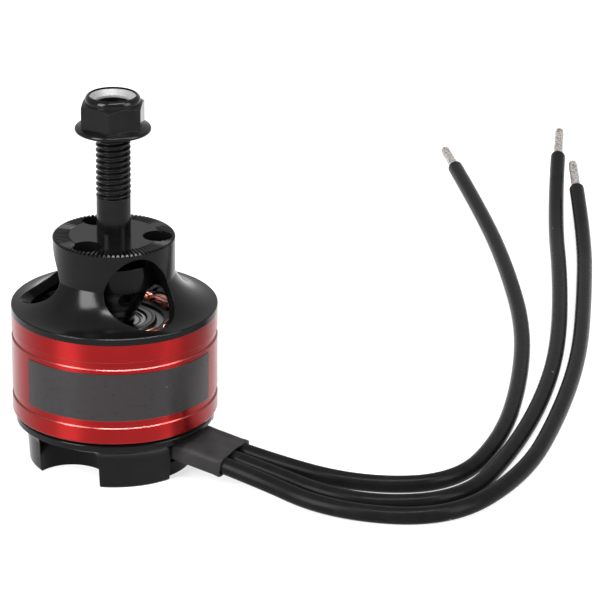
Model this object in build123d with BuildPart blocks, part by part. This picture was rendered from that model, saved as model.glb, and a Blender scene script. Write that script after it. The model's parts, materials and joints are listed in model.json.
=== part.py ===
from build123d import *
import itertools
import math
import os

os.makedirs("parts", exist_ok=True)

# Brushless outrunner motor. Millimetres, +Z up, origin at the centre of the base's bottom face.
# One foot of the base points along -Y. The spin axis is the Z axis.

# ---- Driving dimensions --------------------------------------------------------------------

# Fits
bond_gap = 0.03         # radial glue or press line between pieces fixed to each other
running_gap = 0.05      # radial clearance between pieces that turn on each other
cut_extra = 1.0         # how far a cut runs past the material

# Base mount
foot_tip_r = 14.8       # outside of the feet where they stand
foot_top_r = 15.1       # outside of the feet where they begin to flare
foot_flare_z = 5.2      # height where the feet begin to flare
base_rim_inset = 0.6    # how far the rim's upright band stands in from the can
base_rim_z = 7.5        # lower edge of that band
foot_h = 7.0            # height of the gaps between the feet
base_deck_h = 1.8       # thickness of the deck above them
base_edge = 0.3         # small edge breaks
arch_r = 6.1            # radius of the arch cut between two feet
arch_offset = 13.2      # distance of the arch's centre from the axis
bolt_hole_r = 1.25      # M3 tapping size
bolt_hole_depth = 5.0
wide_bolt_span = 25.0   # hole-to-hole along X
narrow_bolt_span = 19.0 # hole-to-hole along Y
deck_port_r = 1.6       # cooling ports through the deck
deck_port_offset = 12.2

# Cable exit
cable_angle = -40.0     # direction in which the leads leave, from +X
recess_r = 13.45        # wall behind the leads
recess_half_angle = 22.0
exit_window_floor = 2.4
exit_window_top = 7.8
tail_port_inner = 9.4   # port through the deck for the winding tails
tail_port_outer = 12.0

# Bearing tube and seats
tube_r = 7.2
tube_seat_z = 7.4
tube_proud = 0.6        # height of the tube past the stator core
collar_wall = 1.2       # collar on the deck, round the tube
shoulder_r = 4.7        # bore that retains the outer races
lower_bearing_z = 1.2
upper_bearing_recess = 0.3

# Ball bearings, 5 x 11 x 5
bearing_bore_r = 2.5
bearing_outer_r = 5.5
bearing_w = 5.0
inner_race_r = 3.35
outer_race_r = 4.65
ball_r = 0.8
ball_count = 8
shield_t = 0.25
shield_seat = 0.2
cage_half_w = 1.2
cage_wall = 0.5
race_edge = 0.15

# Stator
stator_r = 14.0
stack_h = 14.0
slot_count = 12
yoke_r = 9.3
tooth_w = 2.4
tooth_tip_h = 0.9
slot_opening = 1.6
end_cap_t = 0.5
coil_crown = 1.0        # height of the windings past the end caps
coil_edge = 0.55        # rounding of the windings' long edges
coil_clear = 0.2        # windings to yoke, tooth tips and each other
tooth_liner = 0.05

# Rotor can
air_gap = 0.3
magnet_count = 14
magnet_t = 1.4
magnet_len = 15.0
magnet_space = 0.8
flux_ring_t = 0.95
can_wall = 0.89
can_bottom_z = 9.2
can_top_z = 27.1
can_edge = 0.4          # rounding of the can's lower edge
groove_depth = 0.25
groove_w = 1.25
groove_edge = 0.12      # edge breaks along a groove
upper_groove_z = 23.35  # middle of each groove
lower_groove_z = 12.8
flux_ring_inset = 0.3

# Label panel on the can
label_bottom_z = 13.55
label_top_z = 21.95
label_sweep = 119.0
label_angle = -96.0
label_t = 0.05

# Bell
rim_edge_z = 28.3
rim_lip = 0.3           # radial width of the broken edge and flat at the rim
hub_r = 10.4
hub_base_z = 33.7
hub_top_z = 40.4
hub_edge = 0.25
cone_sag = 1.25         # depth of the cone's concave curve
bell_wall = 1.6
cavity_step = 0.4       # straight part of the hollow above the spigot
spigot_h = 0.9
spigot_wall = 1.1
core_r = 7.2            # solid middle of the hub, where the windows stop
boss_r = 6.5            # cone-shaped boss, where it meets the hollow's roof
boss_foot_r = 3.1
bell_angle = -77.5      # direction of the first window
window_count = 3
window_r = 5.7
window_tilt = 25.0      # window axis above horizontal
window_ref_r = 12.6     # a point on the window's axis
window_ref_z = 34.1
window_sweep = 5.0      # the window is drawn out to one side by this angle
window_drop = 0.9       # and drops by this much on the way
hub_hole_r = 2.5
hub_hole_offset = 7.4
hub_hole_depth = 4.0
serration_count = 84
serration_inner_r = 7.6
serration_depth = 0.4
serration_w = 0.44
serration_taper = 20.0

# Grub screws
grub_count = 2
grub_r = 1.5
grub_z = 30.6
grub_len = 3.0
grub_socket = 1.5       # across flats
grub_socket_depth = 1.0

# Shaft and its retainers
shaft_bottom_z = 0.15
shaft_top_z = 36.4
shaft_edge = 0.25
clip_t = 0.5
clip_outer_r = 3.9
clip_groove_depth = 0.5
clip_mouth = 60.0
shim_t = 0.25
shim_r = 3.2

# Prop stud, M6 x 1
thread_major_r = 2.95
thread_minor_r = 2.42
thread_pitch = 1.0
thread_start_z = 47.4
stud_shank_r = 2.9
stud_top_z = 63.2
thread_sunk = 0.1       # how far the thread's ridge reaches into the core
thread_lead_in = 0.5    # how far below the thread's end its ridge begins
stud_turn = -68.0       # angle at which the stud was screwed home
thread_crest_w = 0.2
thread_root_w = 0.85

# Flange nut with a nylon locking ring
nut_z = 58.9            # seat of the flange
nut_h = 6.4
nut_flats = 10.0
nut_flange_r = 6.45
nut_flange_edge = 0.8
nut_flange_rise = 1.2
nut_hex_top = 5.1
nut_cone_h = 0.5        # height over which the corners are turned back
nut_cone_inset = 0.1
nut_collar_r = 4.65
nut_collar_lip = 0.85
nut_angle = -107.5
insert_r = 4.0
insert_t = 1.2
insert_recess = 0.35
insert_hole_r = 3.0
insert_rim = 0.2        # flat left round the dished top
insert_dish = 0.85

# Leads, 16 AWG in silicone
wire_r = 1.5
wire_pitch = 3.15       # spacing of the three leads in the sleeve
tinned_r = 0.95
tinned_len = 12.0
tinned_edge = 0.7       # rounding of a tinned end's tip
tail_r = 0.6
tail_bend = 1.2         # bend radius of a winding tail
tail_turn_r = 10.5      # where a winding tail turns up, from the axis
exit_ref_r = 14.0       # where the leads pass the recess
exit_ref_z = 5.2
exit_drop = 0.15        # fall of the leads per millimetre
wire_start_r = 12.0
sleeve_start_r = 12.6
sleeve_end_r = 23.2
sleeve_wall = 0.5
sleeve_clear = 0.15
sleeve_room = 0.2       # sleeve to the sides of the exit window
arc_share = 0.45        # share of the shorter run that an arc's tangent takes

# Route of each lead after its two points in the sleeve, in the plane of the floor
route_far = [
    (37.5, -25.0), (54.0, -27.0), (66.5, -10.0), (76.0, 12.5), (84.0, 38.0),
    (89.0, 66.5), (92.5, 96.0), (94.5, 126.5),
]
route_middle = [
    (34.0, -32.0), (53.0, -34.5), (66.0, -17.0), (77.5, 3.5), (87.5, 27.0),
    (97.5, 59.5), (106.5, 94.5), (114.0, 118.0),
]
route_near = [
    (30.0, -34.0), (49.0, -41.0), (66.0, -26.0), (78.5, -3.5), (90.0, 22.0),
    (99.5, 50.5), (108.5, 80.0), (113.0, 101.0),
]
sleeve_exit_r = 27.5    # second point of each route

# How far each lead's end springs up off the floor
end_rise = {"far": 0.0, "middle": 4.0, "near": 3.0}

# ---- Values worked out from them -----------------------------------------------------------

deck_top_z = foot_h + base_deck_h
collar_r = tube_r + collar_wall
end_cap_bottom_z = can_bottom_z + coil_crown
stack_bottom_z = end_cap_bottom_z + end_cap_t
stack_top_z = stack_bottom_z + stack_h
coil_bottom_z = end_cap_bottom_z - coil_crown
coil_top_z = stack_top_z + end_cap_t + coil_crown
tube_top_z = stack_top_z + tube_proud
upper_bearing_z = tube_top_z - upper_bearing_recess - bearing_w
ball_track_r = (inner_race_r + outer_race_r) / 2
groove_track_r = ball_r + running_gap
magnet_inner_r = stator_r + air_gap
magnet_outer_r = magnet_inner_r + magnet_t
flux_inner_r = magnet_outer_r + bond_gap
flux_outer_r = flux_inner_r + flux_ring_t
sleeve_inner_r = flux_outer_r + bond_gap
can_r = sleeve_inner_r + can_wall
base_rim_r = can_r - base_rim_inset
magnet_bottom_z = stack_bottom_z + (stack_h - magnet_len) / 2
clip_z = lower_bearing_z - shim_t - clip_t
slot_pitch = 360 / slot_count
tilt = math.radians(window_tilt)


def polar(radius, angle, z=0.0):
    """Point at a radius and an angle from +X."""
    return Vector(radius * math.cos(math.radians(angle)), radius * math.sin(math.radians(angle)), z)


def finish(part, name):
    """Label a finished piece and write its STEP file."""
    part.label = name
    export_step(part, f"parts/{name}.step")


# ---- Base mount ----------------------------------------------------------------------------

with BuildPart() as base_mount:
    with BuildSketch(Plane.XZ) as base_profile:
        with BuildLine() as base_outline:
            Polyline(
                (shoulder_r, 0),
                (foot_tip_r - base_edge, 0),
                (foot_tip_r, base_edge),
                (foot_top_r, foot_flare_z),
            )
            TangentArc(
                (foot_top_r, foot_flare_z),
                (base_rim_r, base_rim_z),
                tangent=(foot_top_r - foot_tip_r, foot_flare_z - base_edge),
            )
            Polyline(
                (base_rim_r, base_rim_z),
                (base_rim_r, deck_top_z - base_edge),
                (base_rim_r - base_edge, deck_top_z),
                (collar_r, deck_top_z),
                (collar_r, stack_bottom_z),
                (tube_r + bond_gap, stack_bottom_z),
                (tube_r + bond_gap, tube_seat_z),
                (bearing_outer_r + bond_gap, tube_seat_z),
                (bearing_outer_r + bond_gap, lower_bearing_z),
                (shoulder_r, lower_bearing_z),
                (shoulder_r, 0),
            )
        make_face()
    revolve(axis=Axis.Z)
    # arches between the feet; the cable side has a shallow recess in place of one
    with BuildSketch(Plane.XY):
        with PolarLocations(arch_offset, 3, start_angle=45, angular_range=270):
            Circle(arch_r)
    extrude(amount=foot_h, mode=Mode.SUBTRACT)
    with BuildSketch(Plane.XY):
        with BuildLine():
            recess_left = Line((0, 0), polar(2 * base_rim_r, cable_angle + recess_half_angle))
            recess_right = Line((0, 0), polar(2 * base_rim_r, cable_angle - recess_half_angle))
            RadiusArc(recess_left @ 1, recess_right @ 1, 2 * base_rim_r)
        make_face()
        Circle(recess_r, mode=Mode.SUBTRACT)
    extrude(amount=foot_h, mode=Mode.SUBTRACT)
    # window for the sleeve, and the port that the winding tails come down through
    exit_window_w = 2 * wire_pitch + 2 * wire_r + 2 * (sleeve_clear + sleeve_wall + sleeve_room)
    window_out = base_rim_r + cut_extra
    window_middle = (tail_port_inner + window_out) / 2
    port_middle = (tail_port_inner + tail_port_outer) / 2
    exit_plane = Plane.XY.rotated((0, 0, cable_angle)).offset(exit_window_floor)
    with BuildSketch(exit_plane):
        with Locations((window_middle, 0)):
            Rectangle(window_out - tail_port_inner, exit_window_w)
    extrude(amount=exit_window_top - exit_window_floor, mode=Mode.SUBTRACT)
    with BuildSketch(exit_plane):
        with Locations((port_middle, 0)):
            Rectangle(tail_port_outer - tail_port_inner, exit_window_w)
    extrude(amount=deck_top_z - exit_window_floor, mode=Mode.SUBTRACT)
    # cooling ports over the arches
    with BuildSketch(Plane.XY.offset(foot_h)):
        with PolarLocations(deck_port_offset, 3, start_angle=45, angular_range=270):
            Circle(deck_port_r)
    extrude(amount=base_deck_h, mode=Mode.SUBTRACT)
    # bolt holes from below, one in each foot
    with Locations(Plane.XY.rotated((180, 0, 0))):
        with GridLocations(wide_bolt_span, 1, 2, 1):
            Hole(bolt_hole_r, depth=bolt_hole_depth)
        with GridLocations(1, narrow_bolt_span, 1, 2):
            Hole(bolt_hole_r, depth=bolt_hole_depth)
finish(base_mount.part, "base_mount")

# ---- Bearing tube --------------------------------------------------------------------------

with BuildPart() as bearing_tube:
    with BuildSketch(Plane.XY.offset(tube_seat_z)):
        Circle(tube_r)
        Circle(shoulder_r, mode=Mode.SUBTRACT)
    extrude(amount=tube_top_z - tube_seat_z)
    with BuildSketch(Plane.XY.offset(upper_bearing_z)):
        Circle(bearing_outer_r + bond_gap)
    extrude(amount=tube_top_z - upper_bearing_z, mode=Mode.SUBTRACT)
    top_edges = bearing_tube.edges().group_by(Axis.Z)[-1]
    chamfer(top_edges.sort_by(SortBy.RADIUS)[-1], base_edge)
finish(bearing_tube.part, "bearing_tube")


# ---- Ball bearings -------------------------------------------------------------------------


def make_bearing(prefix, z):
    """One shielded ball bearing standing on height z, as five pieces."""
    mid_z = z + bearing_w / 2
    ball_path_centre = (ball_track_r, mid_z)
    with BuildPart() as inner_race:
        with BuildSketch(Plane.XZ):
            with Locations(((bearing_bore_r + bond_gap + inner_race_r) / 2, mid_z)):
                Rectangle(inner_race_r - bearing_bore_r - bond_gap, bearing_w)
            with Locations(ball_path_centre):
                Circle(groove_track_r, mode=Mode.SUBTRACT)
        revolve(axis=Axis.Z)
    finish(inner_race.part, f"{prefix}_bearing_inner_race")

    with BuildPart() as outer_race:
        with BuildSketch(Plane.XZ):
            with Locations(((outer_race_r + bearing_outer_r) / 2, mid_z)):
                Rectangle(bearing_outer_r - outer_race_r, bearing_w)
            with Locations(ball_path_centre):
                Circle(groove_track_r, mode=Mode.SUBTRACT)
            with Locations((outer_race_r, z), (outer_race_r, z + bearing_w)):
                Rectangle(2 * shield_seat, 2 * (shield_t + shield_seat), mode=Mode.SUBTRACT)
        revolve(axis=Axis.Z)
        rim_edges = outer_race.edges().filter_by(GeomType.CIRCLE)
        chamfer(rim_edges.filter_by(lambda e: abs(e.radius - bearing_outer_r) < 1e-6), race_edge)
    finish(outer_race.part, f"{prefix}_bearing_outer_race")

    with BuildPart() as balls:
        with Locations(Location((0, 0, mid_z))):
            with PolarLocations(ball_track_r, ball_count):
                Sphere(ball_r)
    finish(balls.part, f"{prefix}_bearing_balls")

    with BuildPart() as cage:
        with BuildSketch(Plane.XY.offset(mid_z - cage_half_w)):
            Circle(ball_track_r + cage_wall / 2)
            Circle(ball_track_r - cage_wall / 2, mode=Mode.SUBTRACT)
        extrude(amount=2 * cage_half_w)
        for k in range(ball_count):
            pocket_plane = Plane(origin=(0, 0, mid_z), z_dir=polar(1, k * 360 / ball_count))
            with BuildSketch(pocket_plane):
                Circle(ball_r + running_gap)
            extrude(amount=bearing_outer_r, mode=Mode.SUBTRACT)
    finish(cage.part, f"{prefix}_bearing_cage")

    with BuildPart() as shields:
        for shield_z in (z + shield_seat, z + bearing_w - shield_seat - shield_t):
            with BuildSketch(Plane.XY.offset(shield_z)):
                Circle(outer_race_r + shield_seat)
                Circle(inner_race_r + 2 * running_gap, mode=Mode.SUBTRACT)
            extrude(amount=shield_t)
    finish(shields.part, f"{prefix}_bearing_shields")


make_bearing("lower", lower_bearing_z)
make_bearing("upper", upper_bearing_z)

# ---- Stator --------------------------------------------------------------------------------


def stator_plate(plane, thickness, bore_r):
    """A yoke with teeth: the core's outline, also used for the end caps."""
    with BuildPart() as plate:
        with BuildSketch(plane):
            Circle(yoke_r)
            limb_foot = yoke_r - cut_extra
            with PolarLocations((limb_foot + stator_r) / 2, slot_count):
                Rectangle(stator_r - limb_foot, tooth_w)
            with BuildSketch(plane, mode=Mode.PRIVATE) as tips:
                Circle(stator_r)
                Circle(stator_r - tooth_tip_h, mode=Mode.SUBTRACT)
                with PolarLocations(stator_r, slot_count, start_angle=slot_pitch / 2):
                    Rectangle(4 * tooth_tip_h, slot_opening, mode=Mode.SUBTRACT)
            add(tips.sketch)
            Circle(bore_r, mode=Mode.SUBTRACT)
        extrude(amount=thickness)
    return plate.part


core_plane = Plane.XY.offset(stack_bottom_z)
stator_core = stator_plate(core_plane, stack_h, tube_r + bond_gap)
finish(stator_core, "stator_core")

lower_cap_plane = Plane.XY.offset(end_cap_bottom_z)
stator_lower_end_cap = stator_plate(lower_cap_plane, end_cap_t, collar_r + bond_gap)
finish(stator_lower_end_cap, "stator_lower_end_cap")

upper_cap_plane = Plane.XY.offset(stack_top_z)
stator_upper_end_cap = stator_plate(upper_cap_plane, end_cap_t, collar_r + bond_gap)
finish(stator_upper_end_cap, "stator_upper_end_cap")

# ---- Windings, twelve coils in three phases ------------------------------------------------

coil_inner_r = yoke_r + coil_clear
coil_outer_r = stator_r - tooth_tip_h - coil_clear
tooth_room_h = stack_h + 2 * end_cap_t
coil_half_in = coil_inner_r * math.tan(math.radians(slot_pitch / 2)) - coil_clear / 2
coil_half_out = coil_outer_r * math.sin(math.radians(slot_pitch / 2)) - coil_clear / 2
coil_outer_x = coil_outer_r * math.cos(math.radians(slot_pitch / 2))
phase_teeth = {"a": (0, 1, 6, 7), "b": (2, 3, 8, 9), "c": (4, 5, 10, 11)}


def make_coils(teeth):
    """Coils round the given teeth: wedges in plan with a window for the tooth."""
    with BuildPart() as coils:
        for tooth in teeth:
            turn = Plane.XY.rotated((0, 0, tooth * slot_pitch))
            with BuildSketch(turn.offset(coil_bottom_z)):
                Polygon(
                    (coil_inner_r, -coil_half_in),
                    (coil_outer_x, -coil_half_out),
                    (coil_outer_x, coil_half_out),
                    (coil_inner_r, coil_half_in),
                    align=None,
                )
            extrude(amount=coil_top_z - coil_bottom_z)
        flat_edges = coils.edges().filter_by(Plane.XY)
        fillet(flat_edges.filter_by(lambda e: e.length > 2 * coil_half_in), coil_edge)
        for tooth in teeth:
            turn = Plane.XY.rotated((0, 0, tooth * slot_pitch))
            with BuildSketch(turn.offset(end_cap_bottom_z)):
                with Locations(((coil_inner_r + coil_outer_r) / 2, 0)):
                    Rectangle(2 * (coil_outer_r - coil_inner_r), tooth_w + 2 * tooth_liner)
            extrude(amount=tooth_room_h, mode=Mode.SUBTRACT)
    return coils.part


for phase, teeth in phase_teeth.items():
    finish(make_coils(teeth), f"winding_phase_{phase}")

# ---- Rotor can -----------------------------------------------------------------------------

flux_ring_bottom_z = can_bottom_z + flux_ring_inset
with BuildPart() as flux_ring:
    with BuildSketch(Plane.XY.offset(flux_ring_bottom_z)):
        Circle(flux_outer_r)
        Circle(flux_inner_r, mode=Mode.SUBTRACT)
    extrude(amount=can_top_z - flux_ring_bottom_z)
finish(flux_ring.part, "flux_ring")

with BuildPart() as magnets:
    with BuildSketch(Plane.XY.offset(magnet_bottom_z)):
        Circle(magnet_outer_r)
        Circle(magnet_inner_r, mode=Mode.SUBTRACT)
        with PolarLocations(magnet_outer_r, magnet_count):
            Rectangle(4 * magnet_t, magnet_space, mode=Mode.SUBTRACT)
    extrude(amount=magnet_len)
finish(magnets.part, "magnets")


def groove_points(middle_z):
    """Half-section of one groove: a shallow flat channel with broken edges."""
    bottom = middle_z - groove_w / 2
    top = middle_z + groove_w / 2
    return [
        (can_r, bottom - groove_edge),
        (can_r - groove_edge, bottom),
        (can_r - groove_depth, bottom),
        (can_r - groove_depth, top),
        (can_r - groove_edge, top),
        (can_r, top + groove_edge),
    ]


with BuildPart() as can_sleeve:
    with BuildSketch(Plane.XZ):
        with BuildLine():
            Polyline(
                (can_r, can_bottom_z + can_edge),
                *groove_points(lower_groove_z),
                *groove_points(upper_groove_z),
                (can_r, can_top_z),
                (sleeve_inner_r, can_top_z),
                (sleeve_inner_r, can_bottom_z),
                (can_r - can_edge, can_bottom_z),
            )
            RadiusArc((can_r - can_edge, can_bottom_z), (can_r, can_bottom_z + can_edge), -can_edge)
        make_face()
    revolve(axis=Axis.Z)
finish(can_sleeve.part, "can_sleeve")

with BuildPart() as label_panel:
    with BuildSketch(Plane.XZ.rotated((0, 0, label_angle - label_sweep / 2))):
        with Locations((can_r + bond_gap + label_t / 2, (label_bottom_z + label_top_z) / 2)):
            Rectangle(label_t, label_top_z - label_bottom_z)
    revolve(axis=Axis.Z, revolution_arc=label_sweep)
finish(label_panel.part, "label_panel")

# ---- Bell ----------------------------------------------------------------------------------

with BuildPart() as bell:
    with BuildSketch(Plane.XZ):
        with BuildLine():
            rim_in = (can_r - rim_lip, rim_edge_z)
            hub_foot = (hub_r, hub_base_z)
            Polyline(
                (0, can_top_z - spigot_h),
                (magnet_outer_r, can_top_z - spigot_h),
                (magnet_outer_r, can_top_z),
                (can_r, can_top_z),
                (can_r, rim_edge_z - rim_lip / 2),
                (can_r - rim_lip / 2, rim_edge_z),
                rim_in,
            )
            SagittaArc(rim_in, hub_foot, cone_sag)
            Polyline(
                hub_foot,
                (hub_r, hub_top_z - hub_edge),
                (hub_r - hub_edge, hub_top_z),
                (0, hub_top_z),
                (0, can_top_z - spigot_h),
            )
        make_face()
    revolve(axis=Axis.Z)
    # hollow under the cone
    with BuildSketch(Plane.XZ):
        with BuildLine():
            cavity_r = magnet_outer_r - spigot_wall
            roof_z = hub_base_z - bell_wall
            Polyline(
                (0, can_top_z - spigot_h),
                (cavity_r, can_top_z - spigot_h),
                (cavity_r, can_top_z + cavity_step),
            )
            cavity_curve_foot = (cavity_r, can_top_z + cavity_step)
            SagittaArc(cavity_curve_foot, (hub_r - bell_wall, roof_z), cone_sag / 2)
            Polyline((hub_r - bell_wall, roof_z), (0, roof_z), (0, can_top_z - spigot_h))
        make_face()
    revolve(axis=Axis.Z, mode=Mode.SUBTRACT)
    # slanted windows
    for k, share in itertools.product(range(window_count), (0, 1)):
        angle = bell_angle + k * 360 / window_count + share * window_sweep
        inner_z = window_ref_z - share * window_drop - window_ref_r * math.tan(tilt)
        direction = polar(math.cos(tilt), angle, math.sin(tilt))
        with BuildSketch(Plane(origin=(0, 0, inner_z), z_dir=direction)):
            Circle(window_r)
        extrude(amount=3 * can_r, mode=Mode.SUBTRACT)
    # boss that grips the shaft
    with BuildSketch(Plane.XZ):
        with BuildLine():
            Polyline(
                (0, tube_top_z - upper_bearing_recess),
                (boss_foot_r, tube_top_z - upper_bearing_recess),
                (boss_r, roof_z),
                (core_r, roof_z),
                (core_r, hub_top_z - hub_hole_depth),
                (0, hub_top_z - hub_hole_depth),
                (0, tube_top_z - upper_bearing_recess),
            )
        make_face()
    revolve(axis=Axis.Z)
    with BuildSketch(Plane.XY.offset(tube_top_z - upper_bearing_recess)):
        Circle(bearing_bore_r + bond_gap)
    extrude(amount=shaft_top_z - tube_top_z + upper_bearing_recess, mode=Mode.SUBTRACT)
    with BuildSketch(Plane.XY.offset(shaft_top_z)):
        Circle(stud_shank_r + bond_gap)
    extrude(amount=hub_top_z - shaft_top_z, mode=Mode.SUBTRACT)
    # three blind holes in the hub's top, between the windows
    with BuildSketch(Plane.XY.offset(hub_top_z)):
        first_hole = bell_angle + 180 / window_count
        with PolarLocations(hub_hole_offset, window_count, start_angle=first_hole):
            Circle(hub_hole_r)
    extrude(amount=-hub_hole_depth, mode=Mode.SUBTRACT)
    # tapped holes for the grub screws
    for k in range(grub_count):
        angle = bell_angle + k * 360 / window_count
        with BuildSketch(Plane(origin=(0, 0, grub_z), z_dir=polar(1, angle))):
            Circle(grub_r + bond_gap)
        extrude(amount=boss_r + cut_extra, mode=Mode.SUBTRACT)
    # serrations that grip a propeller
    with BuildSketch(Plane.XY.offset(hub_top_z)):
        serration_outer_r = hub_r + cut_extra
        with PolarLocations((serration_inner_r + serration_outer_r) / 2, serration_count):
            Rectangle(serration_outer_r - serration_inner_r, serration_w)
    extrude(amount=-serration_depth, taper=serration_taper, mode=Mode.SUBTRACT)
finish(bell.part, "bell")

# ---- Grub screws ---------------------------------------------------------------------------

with BuildPart() as grub_screws:
    for k in range(grub_count):
        angle = bell_angle + k * 360 / window_count
        screw_plane = Plane(origin=polar(bearing_bore_r, angle, grub_z), z_dir=polar(1, angle))
        with BuildSketch(screw_plane):
            Circle(grub_r)
        extrude(amount=grub_len)
        with BuildSketch(screw_plane.offset(grub_len)):
            RegularPolygon(grub_socket / 2, 6, major_radius=False)
        extrude(amount=-grub_socket_depth, mode=Mode.SUBTRACT)
finish(grub_screws.part, "grub_screws")

# ---- Shaft, clip and shim ------------------------------------------------------------------

with BuildPart() as shaft:
    with BuildSketch(Plane.XY.offset(shaft_bottom_z)):
        Circle(bearing_bore_r)
    extrude(amount=shaft_top_z - shaft_bottom_z)
    chamfer(shaft.edges().group_by(Axis.Z)[0], shaft_edge)
    with BuildSketch(Plane.XY.offset(clip_z)):
        Circle(bearing_bore_r + cut_extra)
        Circle(bearing_bore_r - clip_groove_depth, mode=Mode.SUBTRACT)
    extrude(amount=clip_t, mode=Mode.SUBTRACT)
finish(shaft.part, "shaft")

with BuildPart() as retaining_clip:
    with BuildSketch(Plane.XY.offset(clip_z)):
        Circle(clip_outer_r)
        Circle(bearing_bore_r - clip_groove_depth + bond_gap, mode=Mode.SUBTRACT)
        with BuildLine(mode=Mode.PRIVATE) as mouth:
            Polyline(
                (0, 0),
                polar(2 * clip_outer_r, clip_mouth / 2),
                polar(2 * clip_outer_r, -clip_mouth / 2),
                (0, 0),
            )
        make_face(mouth.edges(), mode=Mode.SUBTRACT)
    extrude(amount=clip_t)
finish(retaining_clip.part, "retaining_clip")

with BuildPart() as shim:
    with BuildSketch(Plane.XY.offset(clip_z + clip_t)):
        Circle(shim_r)
        Circle(bearing_bore_r + bond_gap, mode=Mode.SUBTRACT)
    extrude(amount=shim_t)
finish(shim.part, "shim")

# ---- Prop stud -----------------------------------------------------------------------------

thread_len = stud_top_z - thread_start_z
with BuildPart() as thread_ridge:
    with BuildLine():
        ridge_path = Helix(
            pitch=thread_pitch,
            height=thread_len + thread_pitch,
            radius=thread_minor_r,
            center=(0, 0, thread_start_z - thread_lead_in),
        )
    root_half = thread_root_w * thread_pitch / 2
    crest_half = thread_crest_w * thread_pitch / 2
    with BuildSketch(Plane(origin=ridge_path @ 0, x_dir=(1, 0, 0), z_dir=ridge_path % 0)):
        Polygon(
            (-thread_sunk, -root_half),
            (thread_major_r - thread_minor_r, -crest_half),
            (thread_major_r - thread_minor_r, crest_half),
            (-thread_sunk, root_half),
            align=None,
        )
    sweep(path=ridge_path, is_frenet=True)
    with BuildSketch(Plane.XY.offset(thread_start_z)):
        Circle(2 * thread_major_r)
    extrude(amount=thread_len, mode=Mode.INTERSECT)

with BuildPart() as prop_stud:
    with BuildSketch(Plane.XY.offset(thread_start_z)):
        Circle(thread_minor_r)
    extrude(amount=thread_len)
    add(thread_ridge.part)
    with BuildSketch(Plane.XY.offset(shaft_top_z)):
        Circle(stud_shank_r)
    extrude(amount=thread_start_z - shaft_top_z)
finish(prop_stud.part.rotate(Axis.Z, stud_turn), "prop_stud")

# ---- Flange nut and its locking ring -------------------------------------------------------

nut_top_z = nut_z + nut_h
nut_bore_r = thread_major_r + running_gap
with BuildPart() as flange_nut:
    with BuildSketch(Plane.XY.offset(nut_z)):
        RegularPolygon(nut_flats / 2, 6, major_radius=False, rotation=nut_angle)
    extrude(amount=nut_hex_top)
    # the hexagon's corners are turned back to a cone at the top
    corner_r = nut_flats / math.sqrt(3)
    with BuildSketch(Plane.XZ):
        with BuildLine():
            Polyline(
                (0, nut_z),
                (corner_r, nut_z),
                (corner_r, nut_z + nut_hex_top - nut_cone_h),
                (nut_flats / 2 - nut_cone_inset, nut_z + nut_hex_top),
                (0, nut_z + nut_hex_top),
                (0, nut_z),
            )
        make_face()
    revolve(axis=Axis.Z, mode=Mode.INTERSECT)
    with BuildSketch(Plane.XZ):
        with BuildLine():
            Line((0, nut_z), (nut_flange_r - nut_flange_edge / 2, nut_z))
            RadiusArc(
                (nut_flange_r - nut_flange_edge / 2, nut_z),
                (nut_flange_r - nut_flange_edge / 2, nut_z + nut_flange_edge),
                -nut_flange_edge / 2,
            )
            Polyline(
                (nut_flange_r - nut_flange_edge / 2, nut_z + nut_flange_edge),
                (nut_flats / 2, nut_z + nut_flange_rise),
                (0, nut_z + nut_flange_rise),
                (0, nut_z),
            )
        make_face()
    revolve(axis=Axis.Z)
    with BuildSketch(Plane.XY.offset(nut_z + nut_hex_top)):
        Circle(nut_collar_r)
    extrude(amount=nut_h - nut_hex_top)
    fillet(flange_nut.edges().group_by(Axis.Z)[-1], nut_collar_lip)
    with BuildSketch(Plane.XY.offset(nut_top_z - insert_recess - insert_t)):
        Circle(insert_r)
    extrude(amount=insert_t + insert_recess, mode=Mode.SUBTRACT)
    with BuildSketch(Plane.XY.offset(nut_z)):
        Circle(nut_bore_r)
    extrude(amount=nut_h, mode=Mode.SUBTRACT)
finish(flange_nut.part, "flange_nut")

insert_top_z = nut_top_z - insert_recess
with BuildPart() as nylon_ring:
    with BuildSketch(Plane.XZ):
        with BuildLine():
            Polyline(
                (insert_hole_r, insert_top_z - insert_t),
                (insert_r - running_gap, insert_top_z - insert_t),
                (insert_r - running_gap, insert_top_z),
                (insert_r - insert_rim, insert_top_z),
                (insert_hole_r, insert_top_z - insert_dish),
                (insert_hole_r, insert_top_z - insert_t),
            )
        make_face()
    revolve(axis=Axis.Z)
finish(nylon_ring.part, "nylon_ring")

# ---- Leads ---------------------------------------------------------------------------------

outward = polar(1, cable_angle)
sideways = polar(1, cable_angle + 90)


def lead_point(radius, offset):
    """Point on a lead in the sleeve, at a distance from the axis and a sideways offset."""
    height = exit_ref_z - exit_drop * (radius - exit_ref_r)
    spot = outward * radius + sideways * offset
    return Vector(spot.X, spot.Y, height)


def lead_route(offset, floor_points, rise):
    """Whole route of a lead: two points in the sleeve, then the points on the floor."""
    points = [lead_point(wire_start_r, offset), lead_point(sleeve_exit_r, offset)]
    points += [Vector(x, y, wire_r) for x, y in floor_points]
    points[-1] += Vector(0, 0, rise)
    return points


def corner_radii(points):
    """Arc radius at each inner point, as large as its two runs allow."""
    radii = []
    for before, here, after in zip(points, points[1:], points[2:]):
        run_in = here - before
        run_out = after - here
        half_turn = math.radians(run_in.get_angle(run_out)) / 2
        radii.append(arc_share * min(run_in.length, run_out.length) / math.tan(half_turn))
    return radii


leads = {
    "far": lead_route(wire_pitch, route_far, end_rise["far"]),
    "middle": lead_route(0, route_middle, end_rise["middle"]),
    "near": lead_route(-wire_pitch, route_near, end_rise["near"]),
}

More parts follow.
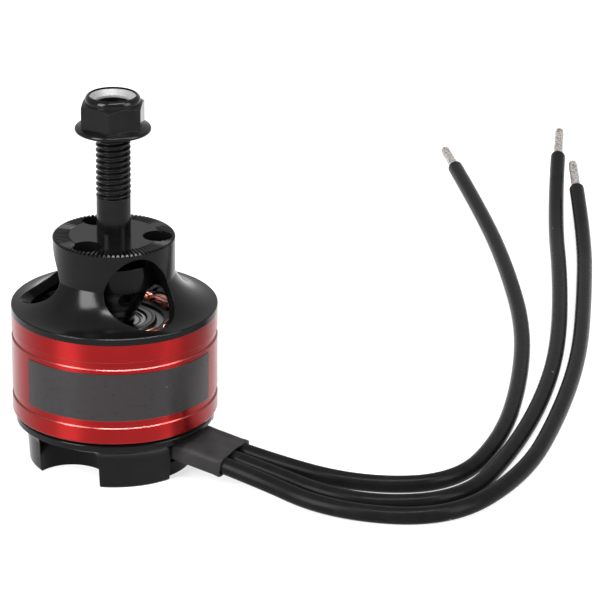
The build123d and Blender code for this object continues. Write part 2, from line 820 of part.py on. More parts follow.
for name, points in leads.items():
    radii = corner_radii(points)
    with BuildPart() as lead:
        with BuildLine() as lead_line:
            FilletPolyline(*points, radius=radii)
        with BuildSketch(Plane(origin=points[0], z_dir=points[1] - points[0])):
            Circle(wire_r)
        sweep()
    lead_len = lead_line.wire().length
    ideal = math.pi * wire_r**2 * lead_len
    print(f"lead_{name}: {lead_len:.1f} mm long, radii {[round(r, 1) for r in radii]},")
    print(f"    volume {lead.part.volume:.1f} of {ideal:.1f} mm3")
    finish(lead.part, f"lead_{name}")

    tip_direction = (points[-1] - points[-2]).normalized()
    with BuildPart() as tinned_end:
        with BuildSketch(Plane(origin=points[-1], z_dir=tip_direction)):
            Circle(tinned_r)
        extrude(amount=tinned_len)
        fillet(tinned_end.edges().sort_by_distance(points[-1])[-1], tinned_edge)
    finish(tinned_end.part, f"tinned_end_{name}")

# ---- Winding tails, soldered to the leads inside the base ----------------------------------

with BuildPart() as winding_tails:
    for side in (-1, 0, 1):
        root = lead_point(wire_start_r, side * wire_pitch)
        turn_point = lead_point(tail_turn_r, side * wire_pitch)
        tail_top = Vector(turn_point.X, turn_point.Y, coil_bottom_z)
        with BuildLine():
            FilletPolyline(root, turn_point, tail_top, radius=tail_bend)
        with BuildSketch(Plane(origin=root, z_dir=turn_point - root)):
            Circle(tail_r)
        sweep()
finish(winding_tails.part, "winding_tails")

# ---- Heat-shrink sleeve --------------------------------------------------------------------

sleeve_origin = lead_point(sleeve_start_r, 0)
sleeve_axis = lead_point(sleeve_end_r, 0) - sleeve_origin
sleeve_plane = Plane(origin=sleeve_origin, x_dir=sideways, z_dir=sleeve_axis)
inner_half = wire_r + sleeve_clear
outer_half = inner_half + sleeve_wall
with BuildPart() as heat_shrink_sleeve:
    with BuildSketch(sleeve_plane):
        SlotOverall(2 * wire_pitch + 2 * outer_half, 2 * outer_half)
        SlotOverall(2 * wire_pitch + 2 * inner_half, 2 * inner_half, mode=Mode.SUBTRACT)
    extrude(amount=sleeve_axis.length)
finish(heat_shrink_sleeve.part, "heat_shrink_sleeve")
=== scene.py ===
import json
import math
import random

import bpy
from mathutils import Matrix, Vector


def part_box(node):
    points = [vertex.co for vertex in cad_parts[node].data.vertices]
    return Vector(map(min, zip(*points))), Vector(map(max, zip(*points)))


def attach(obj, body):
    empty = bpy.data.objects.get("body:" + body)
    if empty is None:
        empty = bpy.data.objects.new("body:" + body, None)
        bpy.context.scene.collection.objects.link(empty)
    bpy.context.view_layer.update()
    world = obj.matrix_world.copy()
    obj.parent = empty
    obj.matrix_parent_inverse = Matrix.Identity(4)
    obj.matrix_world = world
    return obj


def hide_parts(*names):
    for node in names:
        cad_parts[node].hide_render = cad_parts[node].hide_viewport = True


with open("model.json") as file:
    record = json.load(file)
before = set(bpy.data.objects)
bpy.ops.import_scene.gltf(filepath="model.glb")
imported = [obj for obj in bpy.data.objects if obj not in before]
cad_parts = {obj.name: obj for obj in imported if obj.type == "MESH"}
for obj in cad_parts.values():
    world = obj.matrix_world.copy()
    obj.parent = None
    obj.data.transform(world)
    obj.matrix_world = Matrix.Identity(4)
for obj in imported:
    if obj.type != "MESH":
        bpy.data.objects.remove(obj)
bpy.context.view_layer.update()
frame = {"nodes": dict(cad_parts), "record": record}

nodes = frame["nodes"]
scene = bpy.context.scene
scene.view_settings.view_transform = "Standard"
MM = 0.001


def polar(radius, angle):
    """Point on the ground plane at a radius and an angle in degrees from +X."""
    a = math.radians(angle)
    return Vector((radius * math.cos(a), radius * math.sin(a), 0))


# ---- Camera --------------------------------------------------------------------------------

camera_lens = 228.82
camera_place = (-0.104867, -0.594730, 0.267516)
camera_turn = (68.4025, -0.5690, -12.7709)  # in degrees

camera = bpy.data.objects.new("camera", bpy.data.cameras.new("camera"))
scene.collection.objects.link(camera)
camera.data.sensor_width = 36.0
camera.data.lens = camera_lens
camera.data.clip_start = 0.01
camera.data.clip_end = 50.0
camera.location = camera_place
camera.rotation_euler = [math.radians(angle) for angle in camera_turn]
scene.camera = camera

# ---- Leads ---------------------------------------------------------------------------------

wire_r = 1.5
wire_pitch = 3.15     # from one lead's middle to the next in the sleeve
cable_angle = -40.0   # direction in which the leads leave the base, from +X
lead_start_r = 12.0   # distances from the axis where a lead starts and where it is let go
lead_free_r = 27.5
lead_mouth_r = 14.0   # where the leads pass the base's wall, and their height there
lead_mouth_z = 5.2
lead_slope = 0.15     # fall for each mm outward
outward = polar(1, cable_angle)
sideways = polar(1, cable_angle + 90)


def lead_point(radius, offset):
    """Point on a lead in the sleeve, at a distance from the axis and a sideways offset, in mm."""
    height = lead_mouth_z - lead_slope * (radius - lead_mouth_r)
    spot = outward * radius + sideways * offset
    return Vector((spot.x, spot.y, height))


# each lead, in mm: its offset in the sleeve, how far its end springs up, its length, its floor points
lead_facts = {
    "far": (wire_pitch, 0.0, 209.3, [
        (37.5, -25.0), (54.0, -27.0), (66.5, -10.0), (76.0, 12.5), (84.0, 38.0),
        (89.0, 66.5), (92.5, 96.0), (94.5, 126.5),
    ]),
    "middle": (0.0, 4.0, 217.6, [
        (34.0, -32.0), (53.0, -34.5), (66.0, -17.0), (77.5, 3.5), (87.5, 27.0),
        (97.5, 59.5), (106.5, 94.5), (114.0, 118.0),
    ]),
    "near": (-wire_pitch, 3.0, 210.1, [
        (30.0, -34.0), (49.0, -41.0), (66.0, -26.0), (78.5, -3.5), (90.0, 22.0),
        (99.5, 50.5), (108.5, 80.0), (113.0, 101.0),
    ]),
}


def lead_route(offset, rise, floor_points):
    """Route of a lead in mm: its start, where it is let go, then its points on the floor."""
    route = [lead_point(lead_start_r, offset), lead_point(lead_free_r, offset)]
    route += [Vector((x, y, wire_r)) for x, y in floor_points]
    route[-1].z += rise
    return route


def make_lead(name, route):
    """One silicone lead: a smooth curve with its route's points as control points.

    The bevel is 1 m, and each point's radius shrinks it to the wire's. The curve's own box grows
    by that radius, so it stays small.
    """
    data = bpy.data.curves.new(f"lead_{name}_skin", "CURVE")
    data.dimensions = "3D"
    data.bevel_depth = 1.0
    data.bevel_resolution = 7
    data.resolution_u = 14
    data.use_fill_caps = True
    spline = data.splines.new("NURBS")
    spline.points.add(len(route) - 1)
    for point, place in zip(spline.points, route):
        point.co = (*(place * MM), 1.0)
        point.radius = wire_r * MM
    spline.order_u = 3
    spline.use_endpoint_u = True
    lead = bpy.data.objects.new(f"lead_{name}_skin", data)
    scene.collection.objects.link(lead)
    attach(lead, "stator")
    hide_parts(f"lead_{name}")
    return lead


made = {}  # each mesh piece made here, with its material slot


def add_mesh(name, points, faces, body, node, slot):
    """A mesh piece in mm that rides on a body and stands for a CAD node."""
    mesh = bpy.data.meshes.new(name)
    mesh.from_pydata([p * MM for p in points], [], faces)
    mesh.shade_smooth()
    piece = bpy.data.objects.new(name, mesh)
    scene.collection.objects.link(piece)
    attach(piece, body)
    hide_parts(node)
    made[piece] = slot
    return piece


def rings_to_faces(ring_count, side_count, first=0, closed=False):
    """Quads between successive rings of points; a closed tube joins its last ring to its first."""
    faces = []
    for i in range(ring_count if closed else ring_count - 1):
        here = first + i * side_count
        there = first + ((i + 1) % ring_count) * side_count
        for j in range(side_count):
            k = (j + 1) % side_count
            faces.append((here + j, here + k, there + k, there + j))
    return faces


# ---- Tinned ends: a twisted bundle of strands under solder -------------------------------------

tinned_r = 0.95
tinned_len = 12.0
tinned_rings = 46
tinned_sides = 40
strand_ridges = 9
ridge_depth = 0.035    # as a share of the radius
strand_twist = 5.0     # radians from end to end
lump_count = 26
lump_sharpness = 16    # higher makes a lump of solder shorter along the wire
lump_narrowness = 3    # and narrower round it
tip_share = 0.1        # rounded part of the length


def tinned_end(name, route):
    """A solder-coated strand bundle with a twist, pits and a rounded tip."""
    rng = random.Random(f"tin {name}")
    along = (route[-1] - route[-2]).normalized()
    side = along.cross(Vector((0, 0, 1))).normalized()
    up = side.cross(along)
    lumps = [
        (rng.uniform(0, 1), rng.uniform(0, math.tau), rng.uniform(-0.07, 0.05))
        for _ in range(lump_count)
    ]
    points = []
    for i in range(tinned_rings):
        share = i / (tinned_rings - 1)
        tip = max(0.0, (share - (1 - tip_share)) / tip_share)
        for j in range(tinned_sides):
            angle = math.tau * j / tinned_sides
            ridge = ridge_depth * math.cos(strand_ridges * angle + strand_twist * share)
            lump = 0.0
            for place, turn, height in lumps:
                across = (math.cos(angle - turn) - 1) * lump_narrowness
                lengthwise = ((share - place) * lump_sharpness) ** 2
                lump += height * math.exp(across - lengthwise)
            radius = tinned_r * (0.93 + ridge + lump) * math.sqrt(max(0.0, 1 - tip**2))
            reach = tinned_len * share * 0.995
            spoke = side * math.cos(angle) + up * math.sin(angle)
            points.append(route[-1] + along * reach + spoke * radius)
    faces = rings_to_faces(tinned_rings, tinned_sides)
    faces.append(tuple(range(tinned_sides)))
    piece_name = f"tinned_{name}_strands"
    return add_mesh(piece_name, points, faces, "stator", f"tinned_end_{name}", "tinned_copper")


leads = {}
for name, (offset, rise, length, floor_points) in lead_facts.items():
    route = lead_route(offset, rise, floor_points)
    leads[name] = make_lead(name, route)
    tin = tinned_end(name, route)

# ---- Windings: turns of enamelled wire round each tooth ----------------------------------------

tooth_count = 12
phase_teeth = {"a": (0, 1, 6, 7), "b": (2, 3, 8, 9), "c": (4, 5, 10, 11)}
winding_low, winding_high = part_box("winding_phase_a")
coil_low = winding_low[2] / MM
coil_high = winding_high[2] / MM
coil_in = 9.5          # from the axis to a coil's inner and outer ends
coil_out = 12.9
coil_half_in = 2.44    # half the coil's width at each of them
coil_half_out = 3.24
strand_r = 0.23
wire_sides = 6
layer_step = 0.45      # how much deeper each layer of wire lies than the one over it
turns = 6
corner_r = 0.75
crown_h = 0.95         # how far a coil's back stands over its low outer end
crown_place = 0.25     # share of the way out where the back starts to fall
crown_fall = 1.3       # and how steeply
swell_h = 0.14         # rise of one turn's middle over its corners


def turn_loop(share, depth, lean, slack):
    """Corner-rounded loop of one turn, as (across, height) pairs."""
    half = coil_half_in + (coil_half_out - coil_half_in) * share - strand_r - depth
    crown = crown_h
    if share > crown_place:
        crown *= 1 - (crown_fall * (share - crown_place)) ** 2
    top = coil_high - crown_h + crown - strand_r - depth - slack
    bottom = coil_low + crown_h - crown + strand_r + depth + slack
    radius = max(0.3, corner_r - depth * 0.6)
    loop = []
    corners = (
        (half, top, 0), (-half, top, 90), (-half, bottom, 180), (half, bottom, 270),
    )
    for across, height, start in corners:
        sx = math.copysign(1, across)
        sz = 1 if height == top else -1
        for step in range(4):
            angle = math.radians(start + 30 * step)
            loop.append((
                across - sx * radius + radius * math.cos(angle),
                height - sz * radius + radius * math.sin(angle) + lean * sx,
            ))
        if start in (0, 180):
            end = -1 if start == 0 else 1
            for step in (0.3, 0.0, -0.3):
                swell = swell_h * (1 - (step / 0.6) ** 2)
                loop.append((-end * (half - radius) * step * 2, height + sz * swell * (1 - depth)))
    return loop


def wire_turn(points, faces, rng, tooth, share, depth):
    """Adds one turn of wire round a tooth: a closed tube through its loop."""
    radial = coil_in + strand_r + (coil_out - coil_in - 2 * strand_r) * share
    slant = rng.uniform(0.0, 0.3)
    lean = rng.uniform(-0.12, 0.0)
    turned = Matrix.Rotation(math.tau * tooth / tooth_count, 3, "Z")
    loop = turn_loop(share, depth, lean, rng.uniform(0.0, 0.3))
    first = len(points)
    count = len(loop)
    for i, (across, height) in enumerate(loop):
        before, after = loop[i - 1], loop[(i + 1) % count]
        run = Vector((after[0] - before[0], after[1] - before[1])).normalized()
        wobble = rng.uniform(-0.09, 0.09) * min(1, 4 * share) * min(1, 4 * (1 - share))
        centre = Vector((radial + slant * across / coil_half_out + wobble, across, height))
        outward_way = Vector((0, run.y, -run.x))
        for j in range(wire_sides):
            angle = math.tau * j / wire_sides
            ring = outward_way * math.cos(angle) + Vector((1, 0, 0)) * math.sin(angle)
            points.append(turned @ (centre + ring * strand_r))
    faces += rings_to_faces(count, wire_sides, first, closed=True)


for phase, teeth in phase_teeth.items():
    rng = random.Random(f"phase {phase}")
    coil_points, coil_faces = [], []
    for tooth in teeth:
        for k in range(turns):
            share = k / (turns - 1)
            layers = 3 if k in (0, 1, turns - 1) else 2
            for layer in range(layers):
                wire_turn(coil_points, coil_faces, rng, tooth, share, layer * layer_step)
    add_mesh(f"coils_{phase}", coil_points, coil_faces, "stator", f"winding_phase_{phase}", "copper")

# ---- Heat-shrink sleeve ------------------------------------------------------------------------

sleeve_start = lead_point(12.6, 0)
sleeve_end = lead_point(23.2, 0)
sleeve_half_h = 2.15
sleeve_half_w = wire_pitch + sleeve_half_h
sleeve_wall = 0.42
sleeve_edge = 0.09     # rounding of the wall's end
sleeve_sides = 64
sleeve_bulge = 0.07    # swell over the middle lead and dip over the others, as a share of the half height


def sleeve_ring(centre, up, half_w, half_h, power):
    """A closed outline across the leads. A higher power makes it squarer."""
    ring = []
    for j in range(sleeve_sides):
        angle = math.tau * j / sleeve_sides
        c, s = math.cos(angle), math.sin(angle)
        across = math.copysign(abs(c) ** (2 / power), c) * half_w
        bulge = sleeve_bulge * half_h * math.cos(across / wire_pitch * math.pi) * abs(s)
        rise = math.copysign(abs(s) ** (2 / power), s) * (half_h - sleeve_bulge * half_h + bulge)
        ring.append(centre + sideways * across + up * rise)
    return ring


def shrink_sleeve():
    """The tube's outside, its rounded end and its inside, as one closed skin."""
    axis = (sleeve_end - sleeve_start).normalized()
    up = axis.cross(sideways)
    up = up if up.z > 0 else -up
    length = (sleeve_end - sleeve_start).length
    rng = random.Random("sleeve")
    # each station: its share of the length, its inset from the outside and its squareness
    stations = [(0.0, 0.0, 4.5)]
    stations += [(share, rng.uniform(0.0, 0.05), 4.6) for share in (0.15, 0.3, 0.45, 0.6, 0.75, 0.88)]
    stations += [(0.985, 0.0, 5.0), (1.0, sleeve_edge, 5.0), (1.0, sleeve_wall - sleeve_edge, 4.0)]
    stations += [(0.985, sleeve_wall, 3.6), (0.5, sleeve_wall, 3.4), (0.0, sleeve_wall, 3.4)]
    points = []
    for share, inset, power in stations:
        centre = sleeve_start + axis * length * share
        points += sleeve_ring(centre, up, sleeve_half_w - inset, sleeve_half_h - inset, power)
    faces = rings_to_faces(len(stations), sleeve_sides, closed=True)
    return add_mesh("shrink_sleeve_skin", points, faces, "stator", "heat_shrink_sleeve", "shrink_tube")


shrink_sleeve()

# ---- Materials -----------------------------------------------------------------------------


def new_material(name):
    """A node material with its Principled shader, ready for more nodes."""
    mat = bpy.data.materials.new(name)
    mat.use_nodes = True
    tree = mat.node_tree
    shader = tree.nodes["Principled BSDF"]
    return mat, tree, shader


# where a Mix node keeps its two inputs and its output for each type of value
VECTOR_IN, VECTOR_OUT = (4, 5), 1
COLOUR_IN, COLOUR_OUT = (6, 7), 2


def link(tree, source, output, target, socket):
    """Joins a node's output to another node's input."""
    tree.links.new(source.outputs[output], target.inputs[socket])


def math_node(tree, operation, *values):
    """A Math node. Each value is a number or a (node, output) pair."""
    node = tree.nodes.new("ShaderNodeMath")
    node.operation = operation
    for index, value in enumerate(values):
        if isinstance(value, tuple):
            link(tree, *value, node, index)
        else:
            node.inputs[index].default_value = value
    return node


def object_coords(tree, scale=(1, 1, 1)):
    """Object coordinates, scaled. At rest they are the frame's own, in metres."""
    coords = tree.nodes.new("ShaderNodeTexCoord")
    mapping = tree.nodes.new("ShaderNodeMapping")
    mapping.inputs["Scale"].default_value = scale
    link(tree, coords, "Object", mapping, "Vector")
    return mapping


def noise(tree, vector, scale, detail):
    """Soft noise. scale is in cells for each unit of the vector."""
    node = tree.nodes.new("ShaderNodeTexNoise")
    node.inputs["Scale"].default_value = scale
    node.inputs["Detail"].default_value = detail
    node.inputs["Roughness"].default_value = 0.55
    link(tree, vector, "Vector", node, "Vector")
    return node


speck_rarity = 0.72  # share of the cells that hold no speck


def specks(tree, vector, scale, size):
    """Sparse small spots, 1 inside a spot and 0 elsewhere. size is a share of a cell."""
    cells = tree.nodes.new("ShaderNodeTexVoronoi")
    cells.inputs["Scale"].default_value = scale
    link(tree, vector, "Vector", cells, "Vector")
    spot = tree.nodes.new("ShaderNodeMapRange")
    spot.inputs["From Min"].default_value = size
    spot.inputs["From Max"].default_value = size * 0.6
    link(tree, cells, "Distance", spot, "Value")
    pick = tree.nodes.new("ShaderNodeSeparateColor")
    link(tree, cells, "Color", pick, "Color")
    chosen = math_node(tree, "GREATER_THAN", (pick, "Red"), speck_rarity)
    return math_node(tree, "MULTIPLY", (spot, "Result"), (chosen, "Value"))


def ramp(tree, source, output, stops):
    """A colour ramp over a node's output. stops are (position, colour) pairs."""
    node = tree.nodes.new("ShaderNodeValToRGB")
    elements = node.color_ramp.elements
    while len(elements) < len(stops):
        elements.new(0.5)
    for element, (position, colour) in zip(elements, stops):
        element.position = position
        element.color = (*colour, 1.0)
    link(tree, source, output, node, "Fac")
    return node


def mix_colour(tree, fac, fac_out, first, second):
    """Blends two colours; each is a colour or a (node, output) pair."""
    node = tree.nodes.new("ShaderNodeMix")
    node.data_type = "RGBA"
    link(tree, fac, fac_out, node, "Factor")
    for index, value in zip(COLOUR_IN, (first, second)):
        if isinstance(value[0], float):
            node.inputs[index].default_value = (*value, 1.0)
        else:
            tree.links.new(value[0].outputs[value[1]], node.inputs[index])
    return node


def map_range(tree, source, output, low, high, start=0.0, end=1.0):
    """Maps start to low and end to high."""
    node = tree.nodes.new("ShaderNodeMapRange")
    node.inputs["From Min"].default_value = start
    node.inputs["From Max"].default_value = end
    node.inputs["To Min"].default_value = low
    node.inputs["To Max"].default_value = high
    link(tree, source, output, node, "Value")
    return node


def bump(tree, shader, source, output, distance):
    """Fine relief on a shader. distance is in metres."""
    node = tree.nodes.new("ShaderNodeBump")
    node.inputs["Distance"].default_value = distance
    link(tree, source, output, node, "Height")
    link(tree, node, "Normal", shader, "Normal")


def soft_edges(tree, shader, radius, top=1.0):
    """Turns the normal over the edges, as a fine broken edge does, up to a height in metres.

    The shader already has its bump, which takes the turned normal.
    """
    edge = tree.nodes.new("ShaderNodeBevel")
    edge.samples = 6
    edge.inputs["Radius"].default_value = radius
    plain = tree.nodes.new("ShaderNodeNewGeometry")
    split = tree.nodes.new("ShaderNodeSeparateXYZ")
    link(tree, object_coords(tree), "Vector", split, "Vector")
    above = math_node(tree, "GREATER_THAN", (split, "Z"), top)
    mix = tree.nodes.new("ShaderNodeMix")
    mix.data_type = "VECTOR"
    link(tree, above, "Value", mix, "Factor")
    link(tree, edge, "Normal", mix, VECTOR_IN[0])
    link(tree, plain, "Normal", mix, VECTOR_IN[1])
    relief = shader.inputs["Normal"].links[0].from_node
    link(tree, mix, VECTOR_OUT, relief, "Normal")


def height_lines(tree, heights, half_width):
    """1 on thin level lines at the given heights in metres and 0 elsewhere."""
    split = tree.nodes.new("ShaderNodeSeparateXYZ")
    link(tree, object_coords(tree), "Vector", split, "Vector")
    nearest = None
    for height in heights:
        away = math_node(tree, "SUBTRACT", (split, "Z"), height)
        gap = math_node(tree, "ABSOLUTE", (away, "Value"))
        if nearest:
            gap = math_node(tree, "MINIMUM", (nearest, "Value"), (gap, "Value"))
        nearest = gap
    return map_range(tree, nearest, "Value", 1.0, 0.0, start=half_width * 0.6, end=half_width)


def turned_finish(tree, shader, amount):
    """Stretches the gloss up and down, as fine lathe marks round the spin axis do."""
    tangent = tree.nodes.new("ShaderNodeTangent")
    tangent.direction_type = "RADIAL"
    tangent.axis = "Z"
    link(tree, tangent, "Tangent", shader, "Tangent")
    shader.inputs["Anisotropic"].default_value = amount
    shader.inputs["Anisotropic Rotation"].default_value = 0.25


def varied(tree, shader, colour, spread, scale, vector):
    """A colour that drifts over the surface by a spread, a share of the colour, each way."""
    cloud = noise(tree, vector, scale, detail=3.0)
    tint = ramp(tree, cloud, "Fac", [
        (0.3, tuple(c * (1 - spread) for c in colour)),
        (0.7, tuple(min(1.0, c * (1 + spread)) for c in colour)),
    ])
    link(tree, tint, "Color", shader, "Base Color")
    return cloud, tint


def roughen(tree, shader, source, low, high):
    """Roughness that goes from low to high with a noise."""
    rough = map_range(tree, source, "Fac", low, high)
    link(tree, rough, "Result", shader, "Roughness")


def colour_over(tree, shader, mask, mask_out, under, colour):
    """Base colour: a tint, with another colour where the mask is 1."""
    mixed = mix_colour(tree, mask, mask_out, (under, "Color"), colour)
    link(tree, mixed, COLOUR_OUT, shader, "Base Color")


serration_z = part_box("bell")[1][2] - 0.0008  # the hub's serrations lie above this


def black_anodised():
    """Turned and anodised aluminium: dense black with a satin sheen and faint lathe marks."""
    mat, tree, shader = new_material("black_anodised")
    coords = object_coords(tree)
    cloud, tint = varied(tree, shader, (0.0018, 0.0018, 0.0019), 0.25, 200.0, coords)
    dust = specks(tree, coords, scale=420.0, size=0.04)
    colour_over(tree, shader, dust, "Value", tint, (0.05, 0.05, 0.05))
    roughen(tree, shader, cloud, 0.15, 0.21)
    lines = noise(tree, object_coords(tree, (6, 6, 600)), scale=20.0, detail=2.0)
    bump(tree, shader, lines, "Fac", distance=0.0000012)
    soft_edges(tree, shader, radius=0.00018, top=serration_z)
    shader.inputs["Specular IOR Level"].default_value = 0.105
    turned_finish(tree, shader, 0.35)
    return mat


def stud_black():
    """Black oxide on steel: darker and glossier than the anodising."""
    mat, tree, shader = new_material("stud_black")
    coords = object_coords(tree)
    cloud, _ = varied(tree, shader, (0.0022, 0.0022, 0.0023), 0.3, 500.0, coords)
    roughen(tree, shader, cloud, 0.10, 0.18)
    grain = noise(tree, coords, scale=1800.0, detail=3.0)
    bump(tree, shader, grain, "Fac", distance=0.00001)
    soft_edges(tree, shader, radius=0.00010)
    shader.inputs["Specular IOR Level"].default_value = 0.11
    return mat


groove_w = 1.25
groove_heights = (12.8, 23.35)  # middle of each groove in the can
groove_edges = [(z + side * groove_w / 2) * MM for z in groove_heights for side in (-1, 1)]


def red_anodised():
    """Turned red aluminium: vertical light bands, fine lathe lines, painted highlight on the groove
    edges, partly paler bare metal.
    """
    mat, tree, shader = new_material("red_anodised")
    coords = object_coords(tree)
    lines = noise(tree, object_coords(tree, (4, 4, 900)), scale=20.0, detail=2.0)
    cloud = noise(tree, coords, scale=120.0, detail=3.0)
    tint = ramp(tree, cloud, "Fac", [(0.3, (0.205, 0.0100, 0.0105)), (0.7, (0.228, 0.0120, 0.0120))])
    # painted highlight: pale lines along the groove edges, partly the paler bare metal of the broken
    # edges
    edges = height_lines(tree, groove_edges, half_width=0.00009)
    colour_over(tree, shader, edges, "Result", tint, (0.40, 0.11, 0.10))
    shader.inputs["Metallic"].default_value = 1.0
    roughen(tree, shader, lines, 0.23, 0.28)
    bump(tree, shader, lines, "Fac", distance=0.000001)
    turned_finish(tree, shader, 0.85)
    return mat


def label():
    """Dark glossy wrap, bare, with dust under its film."""
    mat, tree, shader = new_material("label")
    coords = object_coords(tree)
    cloud, tint = varied(tree, shader, (0.0085, 0.0070, 0.0074), 0.12, 900.0, coords)
    dust = specks(tree, coords, scale=500.0, size=0.06)
    colour_over(tree, shader, dust, "Value", tint, (0.10, 0.095, 0.095))
    roughen(tree, shader, cloud, 0.26, 0.30)
    shader.inputs["Specular IOR Level"].default_value = 0.22
    ripple = noise(tree, coords, scale=260.0, detail=2.0)
    bump(tree, shader, ripple, "Fac", distance=0.000012)
    turned_finish(tree, shader, 0.6)
    return mat


def nylon():
    """Pale nylon with fine scuffs."""
    mat, tree, shader = new_material("nylon")
    coords = object_coords(tree)
    varied(tree, shader, (0.125, 0.125, 0.125), 0.12, 700.0, coords)
    shader.inputs["Roughness"].default_value = 0.42
    scuffs = noise(tree, coords, scale=3500.0, detail=4.0)
    bump(tree, shader, scuffs, "Fac", distance=0.00002)
    return mat


def lathe_rings(tree, coords, scale, distortion):
    """Waves in rings round the spin axis."""
    rings = tree.nodes.new("ShaderNodeTexWave")
    rings.wave_type = "RINGS"
    rings.rings_direction = "Z"
    rings.inputs["Scale"].default_value = scale
    rings.inputs["Distortion"].default_value = distortion
    link(tree, coords, "Vector", rings, "Vector")
    return rings


def metal(name, colour, roughness, ring_scale=0.0):
    """Bare metal. ring_scale adds lathe marks and darker rings round the spin axis."""
    mat, tree, shader = new_material(name)
    coords = object_coords(tree)
    cloud, tint = varied(tree, shader, colour, 0.12, 350.0, coords)
    shader.inputs["Metallic"].default_value = 1.0
    roughen(tree, shader, cloud, roughness - 0.05, roughness + 0.06)
    if ring_scale:
        marks = lathe_rings(tree, coords, ring_scale, distortion=0.3)
        bump(tree, shader, marks, "Fac", distance=0.000008)
        bands = lathe_rings(tree, coords, scale=290.0, distortion=0.4)
        dark = map_range(tree, bands, "Fac", 1.0, 0.0, start=0.15, end=0.5)
        colour_over(tree, shader, dark, "Result", tint, (0.012, 0.012, 0.012))
    else:
        grain = noise(tree, coords, scale=4000.0, detail=3.0)
        bump(tree, shader, grain, "Fac", distance=0.000006)
    return mat


def lamination():
    """Stacked electrical steel: thin plates with dark seams between them."""
    mat, tree, shader = new_material("lamination")
    coords = object_coords(tree)
    plates = tree.nodes.new("ShaderNodeTexWave")
    plates.bands_direction = "Z"
    plates.inputs["Scale"].default_value = 900.0
    link(tree, coords, "Vector", plates, "Vector")
    tint = ramp(tree, plates, "Fac", [(0.1, (0.05, 0.05, 0.05)), (0.35, (0.22, 0.22, 0.23))])
    link(tree, tint, "Color", shader, "Base Color")
    shader.inputs["Metallic"].default_value = 1.0
    shader.inputs["Roughness"].default_value = 0.4
    bump(tree, shader, plates, "Fac", distance=0.00003)
    return mat


def copper():
    """Enamelled copper wire: pink highlights over deep red shade."""
    mat, tree, shader = new_material("copper")
    coords = object_coords(tree)
    cloud, _ = varied(tree, shader, (0.64, 0.29, 0.23), 0.3, 900.0, coords)
    shader.inputs["Metallic"].default_value = 1.0
    roughen(tree, shader, cloud, 0.24, 0.36)
    shader.inputs["Coat Weight"].default_value = 0.5
    shader.inputs["Coat Roughness"].default_value = 0.15
    return mat


def soft_black(name, colour, roughness, ior, grain_scale, grain_depth, speck_scale, speck_size):
    """Black rubber or plastic with dust specks on it."""
    mat, tree, shader = new_material(name)
    coords = object_coords(tree)
    cloud, tint = varied(tree, shader, colour, 0.2, 300.0, coords)
    dust = specks(tree, coords, speck_scale, speck_size)
    colour_over(tree, shader, dust, "Value", tint, (0.12, 0.12, 0.12))
    roughen(tree, shader, cloud, roughness - 0.05, roughness + 0.07)
    shader.inputs["IOR"].default_value = ior
    grain = noise(tree, coords, grain_scale, detail=4.0)
    bump(tree, shader, grain, "Fac", grain_depth)
    return mat


def tinned_copper():
    """Solder over strands: bright, lumpy, with darker pits."""
    mat, tree, shader = new_material("tinned_copper")
    coords = object_coords(tree)
    pits = noise(tree, coords, scale=2200.0, detail=3.0)
    tint = ramp(tree, pits, "Fac", [(0.36, (0.12, 0.105, 0.095)), (0.58, (0.50, 0.465, 0.44))])
    link(tree, tint, "Color", shader, "Base Color")
    shader.inputs["Metallic"].default_value = 0.85
    roughen(tree, shader, pits, 0.5, 0.22)
    bump(tree, shader, pits, "Fac", distance=0.00012)
    return mat


materials = {
    "black_anodised": black_anodised(),
    "red_anodised": red_anodised(),
    "label": label(),
    "stud_black": stud_black(),
    "nylon": nylon(),
    "bearing_steel": metal("bearing_steel", (0.34, 0.335, 0.33), 0.18, ring_scale=1400.0),
    "tube_aluminium": metal("tube_aluminium", (0.15, 0.15, 0.15), 0.3, ring_scale=2200.0),
    "lamination": lamination(),
    "end_cap": soft_black(
        "end_cap", (0.012, 0.012, 0.013), roughness=0.45, ior=1.3,
        grain_scale=2500.0, grain_depth=0.00001, speck_scale=600.0, speck_size=0.04,
    ),
    "copper": copper(),
    "flux_steel": metal("flux_steel", (0.05, 0.05, 0.052), 0.4),
    "magnet": metal("magnet", (0.11, 0.11, 0.112), 0.3),
    "silicone": soft_black(
        "silicone", (0.0035, 0.0035, 0.0035), roughness=0.26, ior=1.10,
        grain_scale=1400.0, grain_depth=0.000012, speck_scale=300.0, speck_size=0.06,
    ),
    "shrink_tube": soft_black(
        "shrink_tube", (0.0125, 0.0118, 0.0120), roughness=0.42, ior=1.12,
        grain_scale=1800.0, grain_depth=0.00003, speck_scale=420.0, speck_size=0.05,
    ),
    "tinned_copper": tinned_copper(),
}


def paint(obj, slot):
    """Gives an object one material in every slot."""
    if not obj.data.materials:
        obj.data.materials.append(materials[slot])
    for i in range(len(obj.data.materials)):
        obj.data.materials[i] = materials[slot]


for part in frame["record"]["subparts"]:
    paint(nodes[part["node"]], part["material_slot"])
for lead in leads.values():
    paint(lead, "silicone")
for piece, slot in made.items():
    paint(piece, slot)

# ---- Stage and light -----------------------------------------------------------------------


def see_white(tree, share):
    """A node that gives the share for camera, glossy and transmission rays and 0 for others."""
    path = tree.nodes.new("ShaderNodeLightPath")
    seen = (path, "Is Camera Ray")
    for other in ("Is Glossy Ray", "Is Transmission Ray"):
        seen = (math_node(tree, "MAXIMUM", seen, (path, other)), "Value")
    return math_node(tree, "MULTIPLY", seen, share)


def add_mix(tree, share, first, second, target):
    """Blends two shaders by see_white's share and sends the result to a node's Surface."""
    mix = tree.nodes.new("ShaderNodeMixShader")
    link(tree, see_white(tree, share), "Value", mix, 0)
    link(tree, first, 0, mix, 1)
    link(tree, second, 0, mix, 2)
    link(tree, mix, 0, target, "Surface")


floor_half = 6.0  # in metres


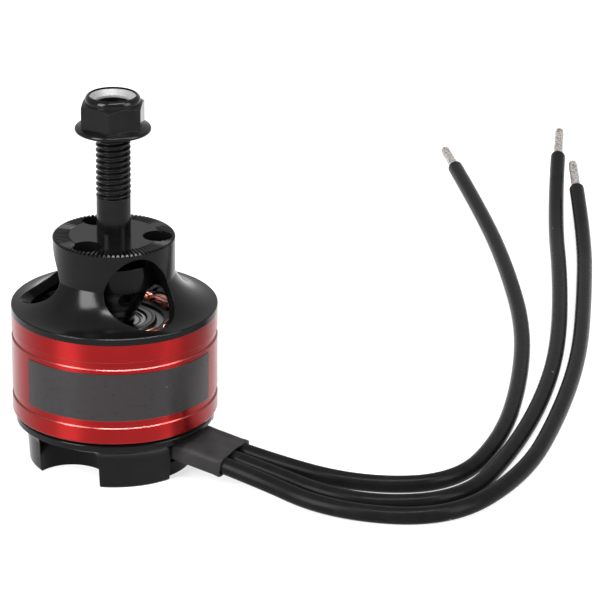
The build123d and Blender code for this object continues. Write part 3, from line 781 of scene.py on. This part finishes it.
def add_floor(whiteness):
    """Pale floor that keeps the shadow, seen as white by a share of whiteness."""
    corners = [(x * floor_half, y * floor_half, 0) for x, y in ((-1, -1), (1, -1), (1, 1), (-1, 1))]
    mesh = bpy.data.meshes.new("floor")
    mesh.from_pydata(corners, [], [(0, 1, 2, 3)])
    floor = bpy.data.objects.new("floor", mesh)
    scene.collection.objects.link(floor)
    mat, tree, shader = new_material("floor")
    shader.inputs["Base Color"].default_value = (0.9, 0.9, 0.9, 1.0)
    shader.inputs["Roughness"].default_value = 0.9
    glow = tree.nodes.new("ShaderNodeEmission")
    glow.inputs["Strength"].default_value = 1.0
    add_mix(tree, whiteness, shader, glow, tree.nodes["Material Output"])
    mesh.materials.append(mat)


def add_world(level):
    """Even studio light at a level, seen by the camera and by gloss as white."""
    world = bpy.data.worlds.new("studio")
    scene.world = world
    world.use_nodes = True
    tree = world.node_tree
    background = tree.nodes["Background"]
    background.inputs["Color"].default_value = (1.0, 1.0, 1.0, 1.0)
    background.inputs["Strength"].default_value = level
    white = tree.nodes.new("ShaderNodeBackground")
    white.inputs["Strength"].default_value = 1.0
    add_mix(tree, 1.0, background, white, tree.nodes["World Output"])


lamp_target = Vector((0, 0, 0.03))
lamp_distance = 0.9


def softbox(name, azimuth, elevation, width, height, power):
    """A soft rectangular lamp that looks at the motor. Azimuth 0 is in front, 90 at the right."""
    data = bpy.data.lights.new(name, "AREA")
    data.shape = "RECTANGLE"
    data.size = width
    data.size_y = height
    data.energy = power
    lamp = bpy.data.objects.new(name, data)
    scene.collection.objects.link(lamp)
    a, e = math.radians(azimuth), math.radians(elevation)
    back = Vector((math.sin(a) * math.cos(e), -math.cos(a) * math.cos(e), math.sin(e)))
    lamp.location = lamp_target + back * lamp_distance
    lamp.rotation_euler = back.to_track_quat("Z", "Y").to_euler()


add_floor(whiteness=0.72)
add_world(level=0.22)
softbox("key_left", azimuth=-62, elevation=26, width=0.4, height=0.8, power=26)
softbox("fill_right", azimuth=54, elevation=24, width=0.4, height=0.8, power=13)
softbox("top_front", azimuth=14, elevation=69, width=0.8, height=0.12, power=15)
